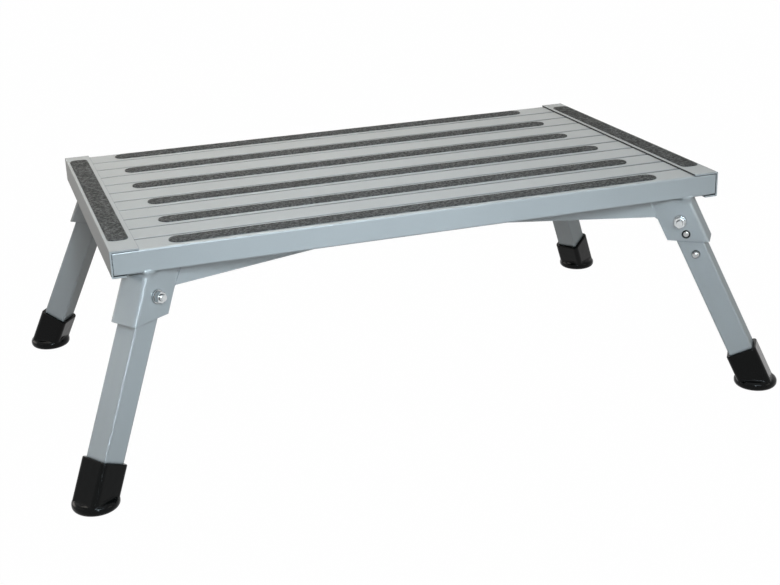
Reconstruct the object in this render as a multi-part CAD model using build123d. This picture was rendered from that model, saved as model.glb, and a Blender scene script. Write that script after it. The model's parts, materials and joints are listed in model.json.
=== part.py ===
from build123d import *
from math import atan2, cos, degrees, radians, sin, tan
import os

# Folding platform step: a slatted deck on four splayed legs that swing in under it.
# Millimetres. Origin on the floor under the middle of the deck, X along the deck, front at -Y, Z up.

# Deck slats
step_height = 228.6
deck_length = 610.0
slat_count = 11
slat_width = 31.6
slat_height = 22.2
slat_wall = 1.3
slat_corner = 2.0
slat_bore_corner = 0.8
slat_gap = 1.4
slat_end_gap = 0.6

# End caps
cap_thickness = 1.6
cap_top_flange = 26.0
cap_bottom_flange = 13.6
cap_overhang = 0.4
cap_edge_round = 1.0

# Grip strips: each long one is laid by hand, so its middle is a little off the deck's
grip_thickness = 0.8
grip_width = 19.0
grip_end_margin = 59.0
grip_slats_apart = 2
grip_shifts = (-3.6, -1.7, -1.0, -6.0, -4.2, -5.4)
end_grip_width = 18.6
end_grip_margin = 24.5
end_grip_corner = 6.0
end_grip_inset = 12.5
end_grip_shift = 5.5

# Leg tubes
leg_splay = 25.7
leg_plan_angle = 35.0
leg_size = 25.0
leg_wall = 1.5
leg_corner = 2.0
leg_bore_corner = 0.8

# Hinges
hinge_inset_x = 29.0
hinge_inset_y = 17.9
hinge_drop = 25.0
hinge_clearance = 0.05

# Leg brackets
bracket_thickness = 3.0
bracket_bend = 1.2
bracket_side_gap = 0.75
bracket_web_gap = 2.8
bracket_flange_reach = 19.7
bracket_drop = 45.7

# Braces
brace_plan_angle = 18.0
brace_height = 21.6
brace_flange = 20.0
brace_thickness = 2.5

# Lock clips
clip_thickness = 0.8
clip_width = 12.0
clip_gap = 0.1
clip_top_margin = 6.0
clip_bottom_margin = 7.0
clip_return = 22.0
button_upper_drop = 15.0
button_lower_drop = 39.2
button_diameter = 8.0
button_flat = 1.6
button_proud = 0.5
button_leg_clearance = 0.3
button_bracket_clearance = 0.5

# Hinge bolts
bolt_diameter = 6.0
bolt_hole_clearance = 0.1
bolt_tip = 3.0
hex_across_flats = 10.0
hex_face_diameter = 9.6
hex_chamfer_angle = 30.0
bolt_head_height = 4.0
nut_height = 5.2
washer_diameter = 12.4
washer_thickness = 1.5
washer_clearance = 0.2

# Feet
foot_wall = 3.4
foot_corner = 5.0
foot_height = 44.5
foot_socket_gap = 0.05
foot_lip_round = 1.2
foot_floor = 12.0
sole_diameter = 44.0
sole_inset = 0.8
sole_height = 10.0
sole_rim_land = 0.8
sole_blend = 2.5

# Sizes and places that follow from those
slat_pitch = slat_width + slat_gap
slat_length = deck_length - 2 * (cap_thickness + slat_end_gap)
grip_length = deck_length - 2 * grip_end_margin
deck_width = slat_count * slat_width + (slat_count - 1) * slat_gap
end_grip_length = deck_width - 2 * end_grip_margin
slat_top = step_height - cap_thickness
slat_bottom = slat_top - slat_height
cap_bottom = slat_bottom - cap_thickness
hinge_x = deck_length / 2 - hinge_inset_x
hinge_y = deck_width / 2 - hinge_inset_y
hinge_z = slat_bottom - hinge_drop
bracket_half_width = leg_size / 2 + bracket_side_gap + bracket_thickness
bracket_web_inner = leg_size / 2 + bracket_web_gap
bracket_web_outer = bracket_web_inner + bracket_thickness
leg_reach = hinge_z / cos(radians(leg_splay))
leg_end = leg_reach - foot_floor
clip_limb = leg_size / 2 - leg_wall - clip_gap
clip_bend = button_lower_drop + clip_bottom_margin
button_tip = bracket_half_width + button_proud
button_dome = (button_diameter - button_flat) / 2
hex_seat = bracket_half_width + washer_thickness
sole_rim_round = (sole_height - sole_rim_land) / 2
BIG = 2 * deck_length

# How a shape is set on its origin: standing on it, or hanging from it
UPWARDS = (Align.CENTER, Align.CENTER, Align.MIN)
DOWNWARDS = (Align.CENTER, Align.CENTER, Align.MAX)

# Each corner of the deck, as the signs of its X and Y
CORNERS = {
    "front_left": (-1, -1),
    "front_right": (1, -1),
    "rear_left": (-1, 1),
    "rear_right": (1, 1),
}


def corner_frame(corner):
    """The hinge centre of a corner, with X pointing outwards over the leg's foot and Z up."""
    side, end = corner
    turn = radians(leg_plan_angle)
    plan = degrees(atan2(end * sin(turn), side * cos(turn)))
    return Pos(side * hinge_x, end * hinge_y, hinge_z) * Rot(Z=plan)


def leg_tilt():
    """The turn from a corner's frame to its leg's frame, whose Z runs up along the leg."""
    return Rot(Y=-leg_splay)


def across(radius, start, end, z=0.0):
    """A round bar along Y, from start to end."""
    bar = Cylinder(radius, end - start, align=UPWARDS)
    return Pos(0, start, z) * Rot(X=-90) * bar


def deck_slat(row):
    """One hollow slat, with rounded corners."""
    bore_width = slat_width - 2 * slat_wall
    bore_height = slat_height - 2 * slat_wall
    outer = RectangleRounded(slat_width, slat_height, slat_corner)
    bore = RectangleRounded(bore_width, bore_height, slat_bore_corner)
    tube = extrude(Plane.YZ * (outer - bore), slat_length / 2, both=True)
    return Pos(0, row_y(row), slat_bottom + slat_height / 2) * tube


def row_y(row):
    """The middle of a slat, counted from the front."""
    return (row - (slat_count - 1) / 2) * slat_pitch


def end_cap():
    """The right end cap: a channel over the slat ends, wider on top than below."""
    corner = (Align.MAX, Align.MIN)
    web = Rectangle(cap_thickness, step_height - cap_bottom, align=corner)
    bottom = Rectangle(cap_bottom_flange, cap_thickness, align=corner)
    top = Rectangle(cap_top_flange, cap_thickness, align=corner)
    section = Pos(deck_length / 2, cap_bottom) * (web + bottom)
    section += Pos(deck_length / 2, slat_top) * top
    cap = extrude(Plane.XZ * section, deck_width / 2 + cap_overhang, both=True)
    outer_edges = cap.edges().filter_by(Axis.Y).group_by(Axis.X)[-1]
    return fillet(outer_edges, cap_edge_round)


def grip_strip(row, shift):
    """A long grit strip with half-round ends, on the top of a slat."""
    pad = extrude(SlotOverall(grip_length, grip_width), grip_thickness)
    return Pos(shift, row_y(row), slat_top) * pad


def end_grip_strip():
    """The grit strip on the right end cap."""
    pad = extrude(RectangleRounded(end_grip_width, end_grip_length, end_grip_corner), grip_thickness)
    return Pos(deck_length / 2 - end_grip_inset, end_grip_shift, step_height) * pad


def leg_bracket():
    """A folded U that holds the leg's top, cut level with the deck at both ends, in the corner's frame."""
    depth = bracket_web_outer + bracket_flange_reach
    middle = (bracket_web_outer - bracket_flange_reach) / 2
    half_slot = bracket_half_width - bracket_thickness
    outer = Pos(middle, 0) * Rectangle(depth, 2 * bracket_half_width)
    outer = fillet(outer.vertices().group_by(Axis.X)[-1], bracket_bend + bracket_thickness)
    slot = Pos(bracket_web_inner, 0) * Rectangle(BIG, 2 * half_slot, align=(Align.MAX, Align.CENTER))
    slot = fillet(slot.vertices().group_by(Axis.X)[-1], bracket_bend)
    fold = extrude(outer - slot, bracket_drop, both=True)
    fold -= across(bolt_diameter / 2 + bolt_hole_clearance, -BIG, BIG)
    button_hole = button_diameter / 2 + button_bracket_clearance
    fold -= across(button_hole, -BIG, 0, z=-button_upper_drop)
    level_ends = Pos(0, 0, hinge_drop) * Box(BIG, BIG, bracket_drop, align=DOWNWARDS)
    return (leg_tilt() * fold) & level_ends


def brace():
    """The rear brace: an angle that runs in from each bracket's outer flange and meets in the middle."""
    turn = radians(leg_plan_angle)
    tilt = radians(leg_splay)
    foot_z = hinge_drop - brace_height
    notch = -(bracket_flange_reach + foot_z * sin(tilt)) / cos(tilt)
    start_x = hinge_x + notch * cos(turn) - bracket_half_width * sin(turn)
    start_y = hinge_y + notch * sin(turn) + bracket_half_width * cos(turn)
    corner = (Align.MAX, Align.MAX)
    angle = Rectangle(brace_thickness, brace_height, align=corner)
    angle += Rectangle(brace_flange, brace_thickness, align=corner)
    run = Rot(Z=brace_plan_angle) * extrude(Plane.YZ * angle, deck_length, both=True)
    right_half = Pos(BIG / 2, 0, slat_bottom) * Box(BIG, BIG, BIG)
    inside = Box(BIG, BIG, BIG, align=(Align.MAX, Align.CENTER, Align.CENTER))
    inside = corner_frame(CORNERS["rear_right"]) * leg_tilt() * Pos(-bracket_flange_reach, 0, 0) * inside
    arm = (Pos(start_x, start_y, slat_bottom) * run) & right_half & inside
    return arm + mirror(arm, Plane.YZ)


def leg():
    """A square tube, rounded at its top about the hinge, in its leg's frame."""
    bore_size = leg_size - 2 * leg_wall
    section = RectangleRounded(leg_size, leg_size, leg_corner)
    section -= RectangleRounded(bore_size, bore_size, leg_bore_corner)
    tube = Pos(0, 0, -leg_end) * extrude(section, leg_end + leg_size / 2)
    side = Rectangle(leg_size, leg_end, align=(Align.CENTER, Align.MAX)) + Circle(leg_size / 2)
    tube &= extrude(Plane.XZ * side, leg_size, both=True)
    tube -= across(bolt_diameter / 2 + hinge_clearance, -leg_size, leg_size)
    for drop in (button_upper_drop, button_lower_drop):
        tube -= across(button_diameter / 2 + button_leg_clearance, -leg_size, 0, z=-drop)
    return tube


def lock_clip():
    """A U-shaped spring strip in the leg, with a button to lock it and one to press, in the leg's frame."""
    strip = clip_profile(clip_limb) - clip_profile(clip_limb - clip_thickness)
    strip -= Pos(0, -clip_return) * Rectangle(BIG, BIG, align=(Align.MIN, Align.MIN))
    clip = extrude(Plane.YZ * strip, clip_width / 2, both=True)
    for drop in (button_upper_drop, button_lower_drop):
        button = across(button_diameter / 2, -button_tip, -clip_limb, z=-drop)
        clip += fillet(button.edges().group_by(Axis.Y)[0], button_dome)
    return clip


def clip_profile(half_width):
    """A side view of the clip's outline: straight limbs and a round bend."""
    limb_length = clip_bend - button_upper_drop + clip_top_margin
    limbs = Rectangle(2 * half_width, limb_length, align=(Align.CENTER, Align.MIN))
    return Pos(0, -clip_bend) * (limbs + Circle(half_width))


def hexagon(height):
    """A bolt head or nut blank from the XY plane up, its corners turned off at the top."""
    blank = extrude(RegularPolygon(hex_across_flats / 2, 6, major_radius=False), height)
    face_radius = hex_face_diameter / 2
    base_radius = face_radius + height / tan(radians(hex_chamfer_angle))
    return blank & Cone(base_radius, face_radius, height, align=UPWARDS)


def hinge_bolt():
    """A hexagon bolt along Y, its head on the -Y side of the bracket."""
    head = Pos(0, -hex_seat, 0) * Rot(X=90) * hexagon(bolt_head_height)
    return head + across(bolt_diameter / 2, -hex_seat, hex_seat + nut_height + bolt_tip)


def hinge_nut():
    """The nut on the bolt's far end."""
    nut = Pos(0, hex_seat, 0) * Rot(X=-90) * hexagon(nut_height)
    return nut - across(bolt_diameter / 2 + hinge_clearance, 0, BIG)


def hinge_washer():
    """The washer between the bracket and the nut or the bolt's head."""
    ring = across(washer_diameter / 2, bracket_half_width, hex_seat)
    return ring - across(bolt_diameter / 2 + washer_clearance, 0, BIG)


def foot():
    """A moulded foot: a square socket along the leg and a round level sole, in the corner's frame."""
    tilt = radians(leg_splay)
    outer_size = leg_size + 2 * foot_wall
    sleeve = extrude(RectangleRounded(outer_size, outer_size, foot_corner), foot_height)
    sleeve = fillet(sleeve.edges().group_by(Axis.Z)[-1], foot_lip_round)
    above_rim = Pos(0, 0, sole_height / 2 - hinge_z) * Box(BIG, BIG, BIG, align=UPWARDS)
    sleeve = (leg_tilt() * Pos(0, 0, -leg_reach) * sleeve) & above_rim
    sole = Cylinder(sole_diameter / 2, sole_height, align=UPWARDS)
    sole = fillet(sole.edges(), sole_rim_round)
    sole_x = (leg_reach - sole_height / 2 / cos(tilt)) * sin(tilt) - sole_inset
    sole = Pos(sole_x, 0, -hinge_z) * sole
    body = sleeve + sole
    body = fillet(new_edges(sleeve, sole, combined=body), sole_blend)
    socket_size = leg_size + 2 * foot_socket_gap
    socket = RectangleRounded(socket_size, socket_size, leg_corner + foot_socket_gap)
    return body - leg_tilt() * Pos(0, 0, -leg_end) * extrude(socket, foot_height)


def nut_side(corner):
    """Which way a corner's bolt points, so that every nut faces out over the deck's long side."""
    side, end = corner
    return 1 if side == end else -1


def write(name, shape):
    """Write one piece, or one group of like pieces, to its own file."""
    export_step(shape, os.path.join("parts", name + ".step"))


os.makedirs("parts", exist_ok=True)

for row in range(slat_count):
    write(f"deck_slat_{row + 1:02d}", deck_slat(row))

for number, row in enumerate(range(0, slat_count, grip_slats_apart)):
    shift = grip_shifts[number % len(grip_shifts)]
    write(f"grip_strip_{number + 1}", grip_strip(row, shift))

write("right_end_cap", end_cap())
write("left_end_cap", mirror(end_cap(), Plane.YZ))
write("right_end_grip_strip", end_grip_strip())
write("left_end_grip_strip", mirror(end_grip_strip(), Plane.YZ))
write("rear_brace", brace())
write("front_brace", mirror(brace(), Plane.XZ))

bolts = []
nuts = []
washers = []
for name, corner in CORNERS.items():
    upright = corner_frame(corner)
    tilted = upright * leg_tilt()
    write(f"{name}_leg_bracket", upright * leg_bracket())
    write(f"{name}_foot", upright * foot())
    write(f"{name}_leg", tilted * leg())
    write(f"{name}_lock_clip", tilted * lock_clip())
    along_bolt = tilted if nut_side(corner) > 0 else tilted * Rot(Z=180)
    bolts.append(along_bolt * hinge_bolt())
    nuts.append(along_bolt * hinge_nut())
    washers.append(along_bolt * hinge_washer())
    washers.append(along_bolt * Rot(Z=180) * hinge_washer())

write("hinge_bolts", Compound(children=bolts))
write("hinge_nuts", Compound(children=nuts))
write("hinge_washers", Compound(children=washers))
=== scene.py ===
"""Looks of a folding caravan step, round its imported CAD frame: paint, grit, feet, zinc and light."""

import json
import logging
import math
from dataclasses import dataclass
from enum import Enum
from typing import Any, Callable, Iterable, Optional, Union

import bpy
import numpy as np
from mathutils import Matrix, Vector


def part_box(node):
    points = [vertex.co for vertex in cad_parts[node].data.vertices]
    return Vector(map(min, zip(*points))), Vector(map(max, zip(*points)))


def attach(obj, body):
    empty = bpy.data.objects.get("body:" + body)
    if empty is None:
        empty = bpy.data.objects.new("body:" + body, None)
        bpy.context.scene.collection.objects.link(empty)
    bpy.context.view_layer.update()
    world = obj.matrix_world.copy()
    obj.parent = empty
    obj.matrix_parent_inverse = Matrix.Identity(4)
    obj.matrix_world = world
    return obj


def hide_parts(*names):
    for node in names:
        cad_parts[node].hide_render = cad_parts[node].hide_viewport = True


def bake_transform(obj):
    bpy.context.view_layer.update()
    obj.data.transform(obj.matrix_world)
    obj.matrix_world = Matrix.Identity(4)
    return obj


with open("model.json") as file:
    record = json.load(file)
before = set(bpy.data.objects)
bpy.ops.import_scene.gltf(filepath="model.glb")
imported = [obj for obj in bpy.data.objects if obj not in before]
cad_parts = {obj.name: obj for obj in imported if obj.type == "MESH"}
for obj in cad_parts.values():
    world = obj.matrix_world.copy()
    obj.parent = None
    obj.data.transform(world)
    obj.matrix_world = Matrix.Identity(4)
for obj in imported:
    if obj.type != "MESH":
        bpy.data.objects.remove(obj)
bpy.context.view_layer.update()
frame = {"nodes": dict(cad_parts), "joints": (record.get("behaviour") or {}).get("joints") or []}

LOG = logging.getLogger("caravan_step")
MM = 0.001
MERGE = 0.01 * MM
NEAR_HINGE = 40 * MM
NOISE_MEAN = 0.5
CREVICE_SAMPLES = 8
CREVICE_FULL = 0.4
CREVICE_NONE = 0.85
UP = Vector((0, 0, 1))
Colour = tuple[float, float, float]


class Corner(Enum):
    """A corner of the deck, by the name that its nodes and joints start with."""

    FRONT_LEFT = "front_left"
    FRONT_RIGHT = "front_right"
    REAR_LEFT = "rear_left"
    REAR_RIGHT = "rear_right"


class Slot(Enum):
    """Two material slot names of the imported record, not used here."""

    FRAME = "painted_frame"
    HARDWARE = "zinc_hardware"


class Socket:
    """One value in a shader, on which Python's operators add Math nodes."""

    def __init__(self, graph: "Graph", output: bpy.types.NodeSocket) -> None:
        """Keep the output and the graph that it is in.

        Args:
            graph: The material's graph.
            output: The node output that holds the value.
        """
        self.graph = graph
        self.output = output

    def _maths(self, operation: str, first: "Value", second: "Value") -> "Socket":
        """Add one Math node and return its result."""
        return self.graph.add("ShaderNodeMath", {"operation": operation}, {0: first, 1: second})

    def __add__(self, other: "Value") -> "Socket":
        """Return self + other."""
        return self._maths("ADD", self, other)

    def __radd__(self, other: "Value") -> "Socket":
        """Return other + self."""
        return self._maths("ADD", other, self)

    def __sub__(self, other: "Value") -> "Socket":
        """Return self - other."""
        return self._maths("SUBTRACT", self, other)

    def __rsub__(self, other: "Value") -> "Socket":
        """Return other - self."""
        return self._maths("SUBTRACT", other, self)

    def __mul__(self, other: "Value") -> "Socket":
        """Return self * other."""
        return self._maths("MULTIPLY", self, other)

    def __rmul__(self, other: "Value") -> "Socket":
        """Return other * self."""
        return self._maths("MULTIPLY", other, self)

    def __lt__(self, other: "Value") -> "Socket":
        """Return 1 where self is below other, and 0 elsewhere."""
        return self._maths("LESS_THAN", self, other)

    def __gt__(self, other: "Value") -> "Socket":
        """Return 1 where self is above other, and 0 elsewhere."""
        return self._maths("GREATER_THAN", self, other)

    def highest(self, other: "Value") -> "Socket":
        """Return the larger of self and other."""
        return self._maths("MAXIMUM", self, other)


Value = Union[Socket, float, Colour]


class Graph:
    """The node tree of one material or of the world."""

    def __init__(self, tree: bpy.types.NodeTree) -> None:
        """Empty the tree, so that it holds only what is added here.

        Args:
            tree: The node tree to fill.
        """
        self.tree = tree
        tree.nodes.clear()

    def add(
        self,
        kind: str,
        settings: Optional[dict[str, Any]] = None,
        inputs: Optional[dict[Union[int, str], Any]] = None,
        output: Union[int, str] = 0,
    ) -> Socket:
        """Add one node.

        Args:
            kind: The node's type.
            settings: Properties of the node, set first; "stops" holds a ramp's places and greys.
            inputs: Values or links of its sockets, by place or name.
            output: The output to return.

        Returns:
            The chosen output, or None from a node that has none.
        """
        node = self.tree.nodes.new(kind)
        for name, value in (settings or {}).items():
            if name == "stops":
                self._set_stops(node.color_ramp, value)
            else:
                setattr(node, name, value)
        for name, value in (inputs or {}).items():
            if isinstance(value, Socket):
                self.tree.links.new(value.output, node.inputs[name])
            else:
                node.inputs[name].default_value = value
        return Socket(self, node.outputs[output]) if node.outputs else None

    @staticmethod
    def _set_stops(ramp: bpy.types.ColorRamp, stops: Iterable[tuple[float, float]]) -> None:
        """Give a ramp its stops.

        Args:
            ramp: The ramp.
            stops: The place and grey of each stop.
        """
        for number, (place, grey) in enumerate(stops):
            stop = ramp.elements[number] if number < len(ramp.elements) else ramp.elements.new(place)
            stop.position = place
            stop.color = (grey, grey, grey, 1)

    def place(self) -> Socket:
        """Return the place on the piece, in metres."""
        return self.add("ShaderNodeTexCoord", output="Object")

    def noise(self, place: Socket, grain: float, detail: float = 2.0) -> Socket:
        """Return a soft random value about 0.5.

        Args:
            place: Where on the piece.
            grain: The size of its patches, in metres.
            detail: How many finer layers are added.

        Returns:
            The noise.
        """
        sizes = {"Vector": place, "Scale": 1 / grain, "Detail": detail}
        return self.add("ShaderNodeTexNoise", inputs=sizes, output="Fac")

    def cells(self, place: Socket, grain: float) -> Socket:
        """Return the distance to the nearest of many scattered grains, from 0 at a grain's middle."""
        sizes = {"Vector": place, "Scale": 1 / grain}
        return self.add("ShaderNodeTexVoronoi", inputs=sizes, output="Distance")

    def ramp(self, value: Socket, *stops: tuple[float, float]) -> Socket:
        """Return a value bent through the stops of a ramp."""
        return self.add("ShaderNodeValToRGB", {"stops": stops}, {"Fac": value})

    def shade(self, colour: Colour, factor: Socket) -> Socket:
        """Return a colour made lighter or darker by a factor."""
        return self.add("ShaderNodeVectorMath", {"operation": "SCALE"}, {0: colour, "Scale": factor})

    def mix(self, factor: Socket, first: Any, second: Any) -> Socket:
        """Return a blend of two colours.

        Args:
            factor: 0 for the first colour and 1 for the second.
            first: A colour or a link.
            second: A colour or a link.

        Returns:
            The blend.
        """
        colours = {
            "Factor": factor,
            "A": first if isinstance(first, Socket) else (*first, 1),
            "B": second if isinstance(second, Socket) else (*second, 1),
        }
        return self._mix_colours(colours)

    def _mix_colours(self, colours: dict[str, Any]) -> Socket:
        """Add a Mix node for colours, whose sockets share their names with those for numbers.

        Args:
            colours: Values or links of its sockets, by name.

        Returns:
            The blend.
        """
        node = self.tree.nodes.new("ShaderNodeMix")
        node.data_type = "RGBA"
        for name, value in colours.items():
            socket = next(s for s in node.inputs if s.name == name and s.enabled)
            if isinstance(value, Socket):
                self.tree.links.new(value.output, socket)
            else:
                socket.default_value = value
        return Socket(self, next(s for s in node.outputs if s.enabled))

    def crevice(self, reach: float) -> Socket:
        """Return 1 down in a crevice and 0 on open ground, from ambient occlusion: the shade that is painted
        into a colour.

        Args:
            reach: How far away a wall still counts, in metres.

        Returns:
            How deep in a crevice the place is, as the share of painted shade.
        """
        samples = {"samples": CREVICE_SAMPLES}
        openness = self.add("ShaderNodeAmbientOcclusion", samples, {"Distance": reach}, "AO")
        return self.ramp(openness, (CREVICE_FULL, 1.0), (CREVICE_NONE, 0.0))

    def bump(self, height: Socket, depth: float) -> Socket:
        """Return a normal that is roughened by a height.

        Args:
            height: The height, from 0 to 1.
            depth: How far apart 0 and 1 are, in metres.

        Returns:
            The normal.
        """
        return self.add("ShaderNodeBump", inputs={"Height": height, "Distance": depth, "Strength": 1.0})


def new_material(name: str) -> tuple[bpy.types.Material, Graph]:
    """Make an empty material.

    Args:
        name: The material's name.

    Returns:
        The material and its graph.
    """
    material = bpy.data.materials.new(name)
    material.use_nodes = True
    return material, Graph(material.node_tree)


def surface(graph: Graph, sockets: dict[str, Any]) -> None:
    """Finish a graph with the main shader.

    Args:
        graph: The material's graph.
        sockets: Values or links of the shader's sockets.
    """
    shader = graph.add("ShaderNodeBsdfPrincipled", inputs=sockets)
    graph.add("ShaderNodeOutputMaterial", inputs={"Surface": shader})


@dataclass(frozen=True)
class PaintFinish:
    """Silver-grey sprayed paint over aluminium, with a fine orange peel and shade painted into its crevices.
    """

    name: str = "silver_grey_paint"
    tone: Colour = (0.43, 0.449, 0.454)
    roughness: float = 0.19
    flake: float = 0.19
    cloud_size: float = 70 * MM
    fleck_size: float = 0.45 * MM
    peel_size: float = 1.6 * MM
    peel_depth: float = 0.012 * MM
    cloud_tone: float = 0.08
    fleck_tone: float = 0.12
    cloud_gloss: float = 0.08
    fleck_gloss: float = 0.1
    specular: float = 0.0
    # Painted shade: the colour is darkened where ambient occlusion finds walls within crevice_reach.
    crevice_reach: float = 4 * MM
    painted_shade_loss: float = 0.78

    def material(self) -> bpy.types.Material:
        """Mix the paint.

        Returns:
            The paint.
        """
        material, graph = new_material(self.name)
        place = graph.place()
        cloud = graph.noise(place, self.cloud_size) - NOISE_MEAN
        fleck = graph.noise(place, self.fleck_size, detail=1.0) - NOISE_MEAN
        peel = graph.noise(place, self.peel_size)
        lightness = 1 + cloud * self.cloud_tone + fleck * self.fleck_tone
        sockets = {
            "Base Color": graph.shade(self.tone, self.shaded(graph, place, lightness)),
            "Roughness": self.roughness + cloud * self.cloud_gloss + fleck * self.fleck_gloss,
            "Normal": graph.bump(peel, self.peel_depth),
            "Metallic": self.flake,
            "Specular IOR Level": self.specular,
        }
        surface(graph, sockets)
        return material

    def shaded(self, graph: Graph, place: Socket, lightness: Socket) -> Socket:
        """Paint shade into the crevices, darker where ambient occlusion finds walls close by.

        Args:
            graph: The material's graph.
            place: Where on the piece; not used here, only by the paints built on this one.
            lightness: The paint's lightness before that.

        Returns:
            The lightness with the painted crevice shade in it.
        """
        return lightness * (1 - graph.crevice(self.crevice_reach) * self.painted_shade_loss)


@dataclass(frozen=True)
class SlatPaint(PaintFinish):
    """The same paint on the slats, with shade painted onto the walls of the grooves between them."""

    name: str = "slat_paint"
    crevice_reach: float = 2.2 * MM
    lip_depth: float = 0.3 * MM
    lip_share: float = 0.45
    groove_depth: float = 1.1 * MM
    painted_groove_shade: float = 0.76
    outer_edge: float = 6 * MM

    def shaded(self, graph: Graph, place: Socket, lightness: Socket) -> Socket:
        """Paint shade onto the walls of the grooves, darker the deeper down they go.

        Args:
            graph: The material's graph.
            place: Where on the piece.
            lightness: The paint's lightness before that.

        Returns:
            The lightness with the painted groove shade in it.
        """
        front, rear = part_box("deck_slat_01")[0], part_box("deck_slat_11")[1]
        across = graph.add("ShaderNodeSeparateXYZ", inputs={0: place}, output="Y")
        height = graph.add("ShaderNodeSeparateXYZ", inputs={0: place}, output="Z")
        # Painted shade: the groove walls grow darker with depth below the slats' top.
        depth = (rear[2] - height) * (1 / self.groove_depth)
        sunk = graph.ramp(depth, (0.0, 0.0), (self.lip_depth / self.groove_depth, self.lip_share), (1.0, 1.0))
        between = (across > front[1] + self.outer_edge) * (across < rear[1] - self.outer_edge)
        above = height > front[2] + self.outer_edge
        even = super().shaded(graph, place, lightness)
        return even * (1 - sunk * between * above * self.painted_groove_shade)


@dataclass(frozen=True)
class CapPaint(PaintFinish):
    """The same paint on the end caps, with shade painted on the cut edge of the sheet."""

    name: str = "cap_paint"
    edge_width: float = 0.04 * MM
    painted_edge_shade: float = 0.7

    def shaded(self, graph: Graph, place: Socket, lightness: Socket) -> Socket:
        """Paint shade onto the cut edges that lie on the slats.

        Args:
            graph: The material's graph.
            place: Where on the piece.
            lightness: The paint's lightness before that.

        Returns:
            The lightness with the painted edge shade in it.
        """
        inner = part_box("right_end_cap")[0][0] + self.edge_width
        along = graph.add("ShaderNodeSeparateXYZ", inputs={0: place}, output="X")
        even = super().shaded(graph, place, lightness)
        # Painted shade: the caps' inner cut edges, over the slats, are darkened.
        return even * (1 - (along * along < inner**2) * self.painted_edge_shade)


@dataclass(frozen=True)
class GritFinish:
    """Dark grit bonded to tape."""

    name: str = "dark_grit"
    binder: Colour = (0.043, 0.0447, 0.045)
    grain: Colour = (0.19, 0.196, 0.196)
    grain_size: float = 0.8 * MM
    clump_size: float = 3.2 * MM
    patch_size: float = 24 * MM
    grain_height: float = 0.3 * MM
    speckle_growth: float = 1.6
    speckle_share: float = 0.45
    clump_share: float = 0.55
    lit_from: float = 0.44
    lit_full: float = 0.62
    least_cover: float = 0.35
    patch_cover: float = 0.6
    roughness: float = 0.72
    cell_roughness: float = 0.2
    specular: float = 0.05

    def material(self) -> bpy.types.Material:
        """Mix the grit.

        Returns:
            The grit.
        """
        material, graph = new_material(self.name)
        place = graph.place()
        cells = graph.cells(place, self.grain_size)
        patch = graph.noise(place, self.patch_size, detail=3.0)
        speckle = graph.noise(place, self.grain_size * self.speckle_growth)
        clump = graph.noise(place, self.clump_size)
        height = speckle * self.speckle_share + clump * self.clump_share
        lit = graph.ramp(height, (self.lit_from, 0.0), (self.lit_full, 1.0))
        colour = graph.mix(lit * (self.least_cover + patch * self.patch_cover), self.binder, self.grain)
        sockets = {
            "Base Color": colour,
            "Roughness": self.roughness + cells * self.cell_roughness,
            "Normal": graph.bump(1 - cells, self.grain_height),
            "Specular IOR Level": self.specular,
        }
        surface(graph, sockets)
        return material


@dataclass(frozen=True)
class MouldedFinish:
    """Glossy black moulded rubber."""

    name: str = "glossy_black_rubber"
    tone: Colour = (0.003, 0.0034, 0.0032)
    roughness: float = 0.12
    ripple_size: float = 7 * MM
    ripple_depth: float = 0.2 * MM
    grain_size: float = 0.7 * MM
    least_tone: float = 0.7
    grain_tone: float = 0.6
    grain_gloss: float = 0.12
    ripple_gloss: float = 0.1
    grain_height: float = 0.03
    specular: float = 0.1

    def material(self) -> bpy.types.Material:
        """Mix the rubber.

        Returns:
            The rubber.
        """
        material, graph = new_material(self.name)
        place = graph.place()
        ripple = graph.noise(place, self.ripple_size, detail=1.0)
        grain = graph.noise(place, self.grain_size)
        gloss = (grain - NOISE_MEAN) * self.grain_gloss
        sockets = {
            "Base Color": graph.shade(self.tone, self.least_tone + grain * self.grain_tone),
            "Roughness": self.roughness + gloss + (ripple - NOISE_MEAN) * self.ripple_gloss,
            "Normal": graph.bump(ripple + grain * self.grain_height, self.ripple_depth),
            "Specular IOR Level": self.specular,
        }
        surface(graph, sockets)
        return material


@dataclass(frozen=True)
class ZincFinish:
    """Bright zinc plate on steel, with shade painted into its hollows."""

    name: str
    tone: Colour = (0.58, 0.605, 0.615)
    roughness: float = 0.15
    cloud_size: float = 3 * MM
    scratch_size: float = 0.4 * MM
    crevice_reach: float = 1.6 * MM
    painted_shade_loss: float = 0.9
    cloud_tone: float = 0.16
    cloud_gloss: float = 0.12
    scratch_gloss: float = 0.12
    scratch_depth: float = 0.01 * MM

    def material(self) -> bpy.types.Material:
        """Mix the plate.

        Returns:
            The plate.
        """
        material, graph = new_material(self.name)
        place = graph.place()
        cloud = graph.noise(place, self.cloud_size) - NOISE_MEAN
        scratch = graph.noise(place, self.scratch_size) - NOISE_MEAN
        # Painted shade: the plate is darkened where ambient occlusion finds nearby walls.
        painted_shade_factor = 1 - graph.crevice(self.crevice_reach) * self.painted_shade_loss
        sockets = {
            "Base Color": graph.shade(self.tone, (1 + cloud * self.cloud_tone) * painted_shade_factor),
            "Metallic": 1.0,
            "Roughness": self.roughness + cloud * self.cloud_gloss + scratch * self.scratch_gloss,
            "Normal": graph.bump(scratch, self.scratch_depth),
        }
        surface(graph, sockets)
        return material


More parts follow.
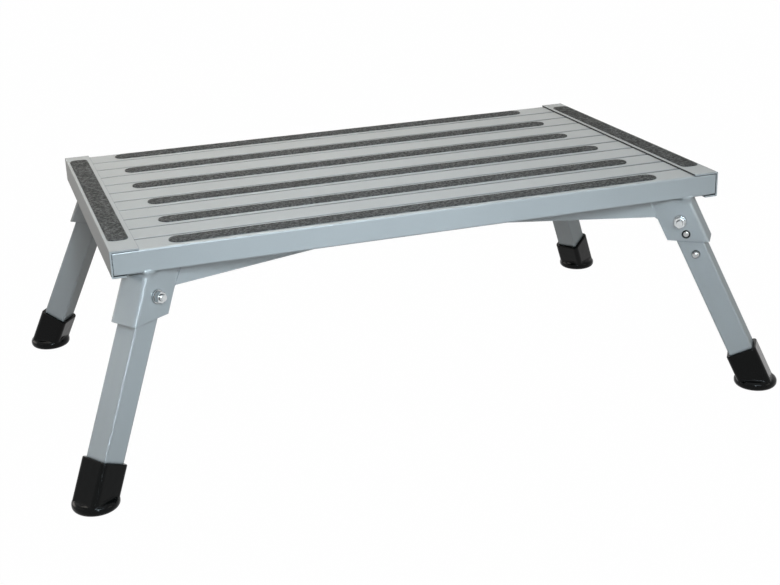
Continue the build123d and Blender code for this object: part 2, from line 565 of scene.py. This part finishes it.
@dataclass(frozen=True)
class Finishes:
    """The finished materials, one for each kind of surface."""

    paint: bpy.types.Material
    slat_paint: bpy.types.Material
    cap_paint: bpy.types.Material
    grit: bpy.types.Material
    rubber: bpy.types.Material
    zinc: bpy.types.Material
    nickel: bpy.types.Material

    @classmethod
    def mix_all(cls) -> "Finishes":
        """Mix all the finishes.

        Returns:
            The finishes.
        """
        return cls(
            paint=PaintFinish().material(),
            slat_paint=SlatPaint().material(),
            cap_paint=CapPaint().material(),
            grit=GritFinish().material(),
            rubber=MouldedFinish().material(),
            zinc=ZincFinish("bright_zinc").material(),
            nickel=ZincFinish("polished_nickel", (0.4, 0.41, 0.41), 0.12).material(),
        )


def coat(piece: bpy.types.Object, material: bpy.types.Material) -> None:
    """Give a piece one material all over.

    Args:
        piece: The piece.
        material: Its material.
    """
    piece.data.materials.clear()
    piece.data.materials.append(material)
    LOG.info("%s wears %s", piece.name, material.name)


def coat_nodes(names: Iterable[str], material: bpy.types.Material) -> None:
    """Give each of these CAD nodes one material.

    Args:
        names: The nodes' names.
        material: Their material.
    """
    for name in names:
        coat(frame["nodes"][name], material)


@dataclass(frozen=True)
class Deck:
    """The slats, end caps, braces and grit strips."""

    finishes: Finishes

    def dress(self) -> None:
        """Paint the metal and lay the grit."""
        names = list(frame["nodes"])
        coat_nodes([n for n in names if n.startswith("deck_slat")], self.finishes.slat_paint)
        coat_nodes([n for n in names if n.endswith("end_cap")], self.finishes.cap_paint)
        coat_nodes([n for n in names if n.endswith("brace")], self.finishes.paint)
        coat_nodes([n for n in names if "grip_strip" in n], self.finishes.grit)


@dataclass(frozen=True)
class LegUnit:
    """One folding leg with its bracket, foot and lock."""

    corner: Corner
    finishes: Finishes

    def dress(self) -> None:
        """Paint the metal and finish the foot."""
        name = self.corner.value
        coat_nodes([f"{name}_leg_bracket", f"{name}_leg"], self.finishes.paint)
        coat_nodes([f"{name}_foot"], self.finishes.rubber)


@dataclass(frozen=True)
class HingeHardware:
    """The hinge bolts with their nuts and washers."""

    finishes: Finishes

    def dress(self) -> None:
        """Plate the hardware."""
        coat_nodes(["hinge_bolts", "hinge_nuts", "hinge_washers"], self.finishes.zinc)


def start_piece(name: str, *meshes: bpy.types.Mesh) -> bpy.types.Object:
    """Make a piece that holds copies of some meshes, with their doubles merged.

    Args:
        name: The piece's name.
        meshes: The meshes to copy into it.

    Returns:
        The piece, selected and active.
    """
    bpy.ops.object.select_all(action="DESELECT")
    copies = [bpy.data.objects.new(name, mesh.copy()) for mesh in meshes]
    for piece in copies:
        bpy.context.scene.collection.objects.link(piece)
        piece.select_set(True)
    bpy.context.view_layer.objects.active = copies[0]
    if len(copies) > 1:
        bpy.ops.object.join()
    bpy.ops.object.mode_set(mode="EDIT")
    bpy.ops.mesh.select_all(action="SELECT")
    bpy.ops.mesh.remove_doubles(threshold=MERGE)
    bpy.ops.object.mode_set(mode="OBJECT")
    return copies[0]


def keep_side(place: Vector, towards: Vector) -> None:
    """Cut the active piece at a plane, keep what lies in the direction given and close the cut.

    Args:
        place: A point on the plane.
        towards: The side to keep.
    """
    bpy.ops.object.mode_set(mode="EDIT")
    bpy.ops.mesh.select_all(action="SELECT")
    bpy.ops.mesh.bisect(plane_co=place, plane_no=towards, use_fill=True, clear_inner=True)
    bpy.ops.object.mode_set(mode="OBJECT")


def select_points(piece: bpy.types.Object, chosen: Callable[[Vector], bool]) -> None:
    """Go into edit mode and select the points that pass a test, with the edges between them.

    Args:
        piece: The active piece.
        chosen: The test of a point's place.
    """
    bpy.ops.object.mode_set(mode="EDIT")
    bpy.ops.mesh.select_mode(type="VERT")
    bpy.ops.mesh.select_all(action="DESELECT")
    bpy.ops.object.mode_set(mode="OBJECT")
    for point in piece.data.vertices:
        point.select = chosen(point.co)
    bpy.ops.object.mode_set(mode="EDIT")
    bpy.ops.mesh.select_mode(type="EDGE")


def apply_modifier(piece: bpy.types.Object, kind: str, **settings: Any) -> None:
    """Add a modifier to the active piece, set it and apply it.

    Args:
        piece: The piece.
        kind: The modifier's type.
        settings: Its properties.
    """
    modifier = piece.modifiers.new(kind.lower(), kind)
    for name, value in settings.items():
        setattr(modifier, name, value)
    bpy.ops.object.modifier_apply(modifier=modifier.name)


@dataclass(frozen=True)
class Hinge:
    """Where one leg's hinge bolt lies."""

    centre: Vector
    out: Vector
    along: Vector

    @classmethod
    def at(cls, corner: Corner) -> "Hinge":
        """Read a corner's hinge from the frame.

        Args:
            corner: The corner of the deck.

        Returns:
            Its centre, the level way out over the foot, and the way along the bolt to the deck's long side.
        """
        joint = next(j for j in frame["joints"] if j["name"] == f"{corner.value}_fold")
        centre = Vector(joint["pos_m"])
        along = Vector(joint["axis"])
        if along.y * centre.y < 0:
            along.negate()
        out = along.cross(UP)
        if out.x * centre.x < 0:
            out.negate()
        return cls(centre, out, along)


@dataclass(frozen=True)
class BoltThread:
    """The thread on the end of a hinge bolt, where it stands out of its nut."""

    corner: Corner
    finishes: Finishes
    pitch: float = 1 * MM
    height: float = 0.36 * MM
    sunk: float = 0.12 * MM
    end_gap: float = 0.45 * MM
    sides: int = 3
    steps: int = 40

    def build(self) -> None:
        """Model the thread as a ridge wound round the bolt, plate it and fix it to the deck."""
        hinge = Hinge.at(self.corner)
        start = self._reach("hinge_nuts", hinge)
        stop = self._reach("hinge_bolts", hinge) - self.end_gap
        turns = (stop - start) / self.pitch
        bpy.ops.object.select_all(action="DESELECT")
        rim = Vector((self._radius(hinge) - self.sunk, 0, 0))
        ridge = {"vertices": self.sides, "radius": self.height}
        bpy.ops.mesh.primitive_circle_add(**ridge, location=rim, rotation=(math.pi / 2, 0, 0))
        piece = bpy.context.object
        piece.name = f"{self.corner.value}_bolt_thread"
        bpy.ops.object.transform_apply()
        count = round(self.steps * turns)
        winding = {"angle": math.tau * turns, "screw_offset": stop - start, "steps": count}
        apply_modifier(piece, "SCREW", axis="Z", render_steps=count, use_smooth_shade=False, **winding)
        bpy.ops.object.mode_set(mode="EDIT")
        bpy.ops.mesh.select_all(action="SELECT")
        bpy.ops.mesh.fill_holes(sides=self.sides)
        bpy.ops.mesh.normals_make_consistent()
        bpy.ops.object.mode_set(mode="OBJECT")
        piece.rotation_euler = hinge.along.to_track_quat("Z", "Y").to_euler()
        piece.location = hinge.centre + hinge.along * start
        bpy.ops.object.transform_apply()
        coat(piece, self.finishes.zinc)
        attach(piece, "deck")

    @staticmethod
    def _points(node: str, hinge: Hinge) -> list[Vector]:
        """Return where this hinge's points of a node lie, from the hinge's centre."""
        steps = [v.co - hinge.centre for v in frame["nodes"][node].data.vertices]
        return [s for s in steps if s.length < NEAR_HINGE]

    def _reach(self, node: str, hinge: Hinge) -> float:
        """Return how far along the bolt this hinge's hardware goes."""
        return max(s.dot(hinge.along) for s in self._points(node, hinge))

    def _radius(self, hinge: Hinge) -> float:
        """Return the bolt's radius at its threaded end."""
        end = max(self._points("hinge_bolts", hinge), key=lambda s: s.dot(hinge.along))
        return (end - hinge.along * end.dot(hinge.along)).length


@dataclass(frozen=True)
class LockClip:
    """A spring clip, one limb with its buttons and the other resting on the leg's wall; here a still copy of
    the CAD node.
    """

    corner: Corner
    finishes: Finishes
    flex: float = 9 * MM
    crease: float = 30.0

    def build(self) -> None:
        """Copy the clip, shade it smooth, plate it and put it in place of its CAD node."""
        name = self.corner.value
        node = f"{name}_lock_clip"
        hinge = Hinge.at(self.corner)
        press = next(j for j in frame["joints"] if j["name"] == f"{name}_lock_press")
        reach = Vector(press["axis"]).normalized() * self.flex
        piece = start_piece(f"{name}_spring_clip", frame["nodes"][node].data)
        bpy.ops.object.shade_smooth_by_angle(angle=math.radians(self.crease))
        coat(piece, self.finishes.nickel)
        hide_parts(node)
        hinge.centre + reach
        hinge.centre - reach
        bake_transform(piece)


@dataclass(frozen=True)
class Weld:
    """The weld that joins a bracket to the outer slat and to its brace, smoothed over by the paint."""

    corner: Corner
    finishes: Finishes
    bracket_depth: float = 26 * MM
    brace_reach: float = 10 * MM
    slat_margin: float = 9 * MM
    slat_depth: float = 4 * MM
    slat_corner: float = 2 * MM
    overlap: float = 0.7 * MM
    bend_round: float = 1.3 * MM
    web_run: float = 9 * MM
    flange_run: float = 16 * MM
    bead_pitch: float = 2.4 * MM
    bead_radius: float = 3.2 * MM
    seam_near: float = 1.5 * MM
    seam_radius: float = 3 * MM
    seam_sink: float = 2.78 * MM
    grain: float = 0.7 * MM
    full_reach: float = 5 * MM
    last_reach: float = 11 * MM
    rounds: int = 50
    sink: float = 0.09 * MM
    skin: float = 1.5 * MM
    leg_run: float = 40 * MM
    seam_density: int = 2
    bead_taper: float = 0.5
    taper_power: int = 3
    bead_wobble: float = 0.07
    wobble_step: float = 2.3
    toe_inset: float = 0.45
    toe_drop: float = 1.2
    toe_share: float = 0.8
    drop_detail: int = 2
    slat_segments: int = 6
    smoothing: float = 0.5

    def build(self) -> None:
        """Model the weld, paint it and fix it to the deck."""
        end, side = self.corner.value.split("_")
        name = f"{self.corner.value}_weld"
        bracket = frame["nodes"][f"{self.corner.value}_leg_bracket"]
        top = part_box(bracket.name)[1][2]
        rim = [v.co.copy() for v in bracket.data.vertices if v.co.z > top - MERGE]
        arm = self._brace_end(name, frame["nodes"][f"{end}_brace"], rim, side)
        beads = self._rim_beads(rim, top) + self._seam_beads(bracket, arm)
        piece = start_piece(name, bracket.data, arm.data)
        bpy.data.objects.remove(arm)
        piece.name = name
        keep_side(UP * (top - self.bracket_depth), UP)
        self._sink_into_slat(piece, top)
        self._add_slat(piece, rim, end)
        self._lay_beads(beads)
        apply_modifier(piece, "REMESH", mode="VOXEL", voxel_size=self.grain)
        self._mark_beads(piece, beads)
        apply_modifier(piece, "SMOOTH", factor=self.smoothing, iterations=self.rounds, vertex_group="weld")
        apply_modifier(piece, "DISPLACE", strength=-self.sink, mid_level=0.0)
        self._clear_leg(piece, bracket)
        bpy.ops.object.shade_smooth()
        coat(piece, self.finishes.paint)
        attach(piece, "deck")

    def _brace_end(
        self, name: str, brace: bpy.types.Object, rim: list[Vector], side: str
    ) -> bpy.types.Object:
        """Return a copy of the brace's end beside the bracket.

        Args:
            name: The copy's name.
            brace: The brace.
            rim: The points of the bracket's top.
            side: Which end of the deck it is at, left or right.

        Returns:
            The copy.
        """
        piece = start_piece(name, brace.data)
        if side == "left":
            keep_side(Vector((max(c.x for c in rim) + self.brace_reach, 0, 0)), Vector((-1, 0, 0)))
        else:
            keep_side(Vector((min(c.x for c in rim) - self.brace_reach, 0, 0)), Vector((1, 0, 0)))
        return piece

    def _rim_beads(self, rim: list[Vector], top: float) -> list[tuple[Vector, float]]:
        """Return the beads round the bracket's outer bend, under the slat's edge.

        Args:
            rim: The points of the bracket's top.
            top: The height of the slat's underside.

        Returns:
            The centre and radius of each bead.
        """
        hinge = Hinge.at(self.corner)
        centre, out, along = hinge.centre, hinge.out, hinge.along
        bend = centre + out * max((c - centre).dot(out) for c in rim)
        bend += along * max((c - centre).dot(along) for c in rim)
        bend.z = top
        count = round((self.web_run + self.flange_run) / self.bead_pitch)
        beads = []
        for number in range(count + 1):
            run = number * self.bead_pitch - self.web_run
            course, inward = (along, out) if run < 0 else (out, along)
            place = bend - course * max(abs(run), self.bend_round)
            if abs(run) <= self.bead_pitch / 2:
                place -= (along + out) * self.bend_round
            reach = self.web_run if run < 0 else self.flange_run
            taper = 1 - self.bead_taper * (abs(run) / reach) ** self.taper_power
            wobble = 1 + self.bead_wobble * math.sin(self.wobble_step * number)
            radius = self.bead_radius * taper * wobble
            toe = place - inward * (self.toe_inset * radius) - UP * (self.toe_drop * radius)
            beads += [(place, radius), (toe, self.toe_share * radius)]
        return beads

    def _seam_beads(self, bracket: bpy.types.Object, arm: bpy.types.Object) -> list[tuple[Vector, float]]:
        """Return the flat beads down the seam between the bracket's flange and the brace.

        Args:
            bracket: The bracket.
            arm: The brace's end.

        Returns:
            The centre and radius of each bead.
        """
        hinge = Hinge.at(self.corner)
        centre, along = hinge.centre, hinge.along
        end = [v.co.copy() for v in arm.data.vertices]
        near = [c for c in end if (bracket.closest_point_on_mesh(c)[1] - c).length < self.seam_near]
        widest = max((c - centre).dot(along) for c in near)
        edge = [c for c in near if (c - centre).dot(along) > widest - self.seam_near]
        low = min(edge, key=lambda c: c.z)
        high = max(edge, key=lambda c: c.z)
        count = round((high - low).length / self.bead_pitch * self.seam_density)
        inset = along * self.seam_sink
        return [(low.lerp(high, n / count) - inset, self.seam_radius) for n in range(count + 1)]

    def _sink_into_slat(self, piece: bpy.types.Object, top: float) -> None:
        """Lengthen the bracket and the brace a little, up into the slat.

        Args:
            piece: The weld, active.
            top: The height of the slat's underside.
        """
        select_points(piece, lambda c: c.z > top - MERGE)
        bpy.ops.transform.translate(value=(0, 0, self.overlap))
        bpy.ops.object.mode_set(mode="OBJECT")

    def _add_slat(self, piece: bpy.types.Object, rim: list[Vector], end: str) -> None:
        """Add the underside of the outer slat, with its rounded edge.

        Args:
            piece: The weld, active.
            rim: The points of the bracket's top.
            end: Which side of the deck it is on, front or rear.
        """
        low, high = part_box("deck_slat_01" if end == "front" else "deck_slat_11")
        left = max(min(c.x for c in rim) - self.slat_margin, low[0])
        right = min(max(c.x for c in rim) + self.slat_margin, high[0])
        start = Vector((left, low[1], low[2]))
        stop = Vector((right, high[1], low[2] + self.slat_depth))
        middle = (start + stop) / 2
        bpy.ops.object.mode_set(mode="EDIT")
        bpy.ops.mesh.select_all(action="DESELECT")
        bpy.ops.mesh.primitive_cube_add(size=1, location=middle)
        bpy.ops.transform.resize(value=stop - start, center_override=middle)
        outer = low[1] if end == "front" else high[1]
        select_points(piece, lambda c: abs(c.y - outer) < MERGE and abs(c.z - start.z) < MERGE)
        bpy.ops.mesh.bevel(offset=self.slat_corner, segments=self.slat_segments, affect="EDGES")
        bpy.ops.object.mode_set(mode="OBJECT")

    def _clear_leg(self, piece: bpy.types.Object, bracket: bpy.types.Object) -> None:
        """Cut the weld away inside the bracket, where the leg swings, down to a skin on the outer side.

        Args:
            piece: The weld.
            bracket: The bracket.
        """
        hinge = Hinge.at(self.corner)
        web = max(bracket.data.polygons, key=lambda f: f.area * f.normal.dot(hinge.out)).normal.copy()
        axes = Matrix((web, hinge.along, web.cross(hinge.along)))
        places = np.array([axes @ (v.co - hinge.centre) for v in bracket.data.vertices])
        low = Vector(places.min(axis=0)) + Vector((-self.leg_run, self.skin, -self.leg_run))
        high = Vector(places.max(axis=0)) - Vector((self.skin, self.skin, -self.leg_run))
        turn = axes.transposed()
        bpy.ops.object.select_all(action="DESELECT")
        bpy.ops.mesh.primitive_cube_add(size=1)
        cutter = bpy.context.object
        place = Matrix.Translation(hinge.centre + turn @ ((low + high) / 2))
        cutter.matrix_world = place @ turn.to_4x4() @ Matrix.Diagonal((*(high - low), 1))
        cutter.select_set(False)
        piece.select_set(True)
        bpy.context.view_layer.objects.active = piece
        apply_modifier(piece, "BOOLEAN", operation="DIFFERENCE", object=cutter, solver="FAST")
        bpy.data.objects.remove(cutter)

    def _lay_beads(self, beads: list[tuple[Vector, float]]) -> None:
        """Lay the beads of metal, as overlapping drops.

        Args:
            beads: The centre and radius of each bead.
        """
        bpy.ops.object.mode_set(mode="EDIT")
        for place, radius in beads:
            bpy.ops.mesh.select_all(action="DESELECT")
            drop = {"subdivisions": self.drop_detail, "radius": radius}
            bpy.ops.mesh.primitive_ico_sphere_add(**drop, location=place)
        bpy.ops.object.mode_set(mode="OBJECT")

    def _mark_beads(self, piece: bpy.types.Object, beads: list[tuple[Vector, float]]) -> None:
        """Weigh each point by how near it is to a bead.

        Args:
            piece: The weld.
            beads: The centre and radius of each bead.
        """
        group = piece.vertex_groups.new(name="weld")
        places = np.empty(3 * len(piece.data.vertices))
        piece.data.vertices.foreach_get("co", places)
        places = places.reshape(-1, 3)
        gaps = [np.linalg.norm(places - np.array(place), axis=1) for place, _ in beads]
        nearest = np.min(gaps, axis=0)
        weights = np.clip((self.last_reach - nearest) / (self.last_reach - self.full_reach), 0, 1)
        for number in np.flatnonzero(weights):
            group.add([int(number)], float(weights[number]), "REPLACE")


@dataclass(frozen=True)
class Lamp:
    """One soft rectangular studio lamp."""

    name: str
    place: tuple[float, float, float]
    aim: tuple[float, float, float]
    width: float
    height: float
    watts: float
    tint: Colour = (1.0, 1.0, 1.0)
    spread: float = 180.0

    def hang(self) -> None:
        """Put the lamp in the scene."""
        light = bpy.data.lights.new(self.name, "AREA")
        light.shape = "RECTANGLE"
        light.size = self.width
        light.size_y = self.height
        light.energy = self.watts
        light.color = self.tint
        light.spread = math.radians(self.spread)
        lamp = bpy.data.objects.new(self.name, light)
        lamp.location = self.place
        lamp.rotation_euler = (Vector(self.aim) - Vector(self.place)).to_track_quat("-Z", "Y").to_euler()
        bpy.context.scene.collection.objects.link(lamp)


COOL_TINT: Colour = (0.77, 0.905, 1.0)
WARM_TINT: Colour = (1.0, 0.95, 0.9)
NARROW = 60.0
DECK_MIDDLE = (0, 0, 0.15)
FRONT_EDGE = (-0.07, -0.15, 0.15)


@dataclass(frozen=True)
class Studio:
    """The floor, the background, the lamps and the camera."""

    floor_size: float = 14.0
    floor_tone: float = 0.08
    floor_glow: float = 0.995
    ambient: Colour = (0.02, 0.02, 0.02)
    camera_place: tuple[float, float, float] = (-0.4201, -1.3185, 0.5920)
    camera_azimuth: float = 18.135
    camera_elevation: float = 20.185
    camera_roll: float = -2.077
    lens: float = 61.86
    lamps: tuple[Lamp, ...] = (
        Lamp("overhead_softbox", (-0.2, 0.4, 1.15), DECK_MIDDLE, 1.2, 0.8, 10.5, (1.0, 0.93, 0.84)),
        Lamp("top_front_strip_light", (-0.15, -0.62, 1.25), (0, 0, 0.2), 1.2, 0.2, 1.8, COOL_TINT),
        Lamp("key_strip_light", (-0.28, -1.35, 0.56), FRONT_EDGE, 0.05, 0.8, 1.1, COOL_TINT, NARROW),
        Lamp("key_softbox", (-0.24, -1.35, 0.86), FRONT_EDGE, 0.5, 0.35, 1.1, COOL_TINT, NARROW),
        Lamp("right_key_softbox", (0.2, -1.35, 0.8), (0.1, -0.15, 0.15), 0.4, 0.3, 0.46, COOL_TINT, NARROW),
        Lamp("left_softbox", (-1.7, -0.2, 0.9), DECK_MIDDLE, 1.0, 0.8, 1.1, WARM_TINT),
        Lamp("left_rear_softbox", (-1.45, 0.8, 0.45), DECK_MIDDLE, 0.8, 0.6, 2.2, WARM_TINT),
        Lamp("rear_left_softbox", (-1.5, 1.2, 0.6), DECK_MIDDLE, 0.9, 0.7, 4.4, (1.0, 0.88, 0.82)),
        Lamp("front_right_softbox", (1.1, -1.1, 0.5), DECK_MIDDLE, 0.6, 0.4, 1.5, (1.0, 1.0, 0.9)),
    )

    def build(self) -> None:
        """Set the whole studio up."""
        self._lay_floor()
        self._light_world()
        for lamp in self.lamps:
            lamp.hang()
        self._set_camera()
        bpy.context.scene.view_settings.view_transform = "Standard"

    @staticmethod
    def _seen(graph: Graph) -> Socket:
        """Tell the rays that see the background as white from those that light the object.

        Args:
            graph: The graph of the floor or the world.

        Returns:
            1 for the first and 0 for the others.
        """
        camera = graph.add("ShaderNodeLightPath", output="Is Camera Ray")
        glossy = graph.add("ShaderNodeLightPath", output="Is Glossy Ray")
        through = graph.add("ShaderNodeLightPath", output="Is Transmission Ray")
        return camera.highest(glossy).highest(through)

    def _lay_floor(self) -> None:
        """Lay a pale floor that keeps the object's shadow."""
        bpy.ops.object.select_all(action="DESELECT")
        bpy.ops.mesh.primitive_plane_add(size=self.floor_size)
        floor = bpy.context.object
        floor.name = "floor"
        material, graph = new_material("pale_floor")
        matte = graph.add("ShaderNodeBsdfDiffuse", inputs={"Color": (*[self.floor_tone] * 3, 1)})
        glow = graph.add("ShaderNodeEmission", inputs={"Color": (1, 1, 1, 1), "Strength": 1.0})
        seen = self._seen(graph) * self.floor_glow
        blend = graph.add("ShaderNodeMixShader", inputs={0: seen, 1: matte, 2: glow})
        graph.add("ShaderNodeOutputMaterial", inputs={"Surface": blend})
        floor.data.materials.append(material)

    def _light_world(self) -> None:
        """Give the world a white background and a dim even light."""
        world = bpy.data.worlds.new("studio")
        world.use_nodes = True
        bpy.context.scene.world = world
        graph = Graph(world.node_tree)
        colour = graph.mix(self._seen(graph), self.ambient, (1.0, 1.0, 1.0))
        sky = graph.add("ShaderNodeBackground", inputs={"Color": colour})
        graph.add("ShaderNodeOutputWorld", inputs={"Surface": sky})

    def _set_camera(self) -> None:
        """Put the camera at the photograph's viewpoint."""
        azimuth = math.radians(self.camera_azimuth)
        elevation = math.radians(self.camera_elevation)
        roll = math.radians(self.camera_roll)
        level = math.cos(elevation)
        ahead = Vector((math.sin(azimuth) * level, math.cos(azimuth) * level, -math.sin(elevation)))
        flat_right = Vector((math.cos(azimuth), -math.sin(azimuth), 0))
        flat_up = flat_right.cross(ahead)
        right = flat_right * math.cos(roll) + flat_up * math.sin(roll)
        up = flat_up * math.cos(roll) - flat_right * math.sin(roll)
        turn = Matrix((right, up, -ahead)).transposed().to_4x4()
        lens = bpy.data.cameras.new("photo_camera")
        lens.lens = self.lens
        camera = bpy.data.objects.new("photo_camera", lens)
        camera.matrix_world = Matrix.Translation(self.camera_place) @ turn
        bpy.context.scene.collection.objects.link(camera)
        bpy.context.scene.camera = camera


def main() -> None:
    """Build and dress each part of the step, then the studio round it."""
    logging.basicConfig(level=logging.INFO, format="%(message)s")
    finishes = Finishes.mix_all()
    Deck(finishes).dress()
    for corner in Corner:
        LegUnit(corner, finishes).dress()
        Weld(corner, finishes).build()
        BoltThread(corner, finishes).build()
        LockClip(corner, finishes).build()
    HingeHardware(finishes).dress()
    Studio().build()


if __name__ == "__main__":
    main()
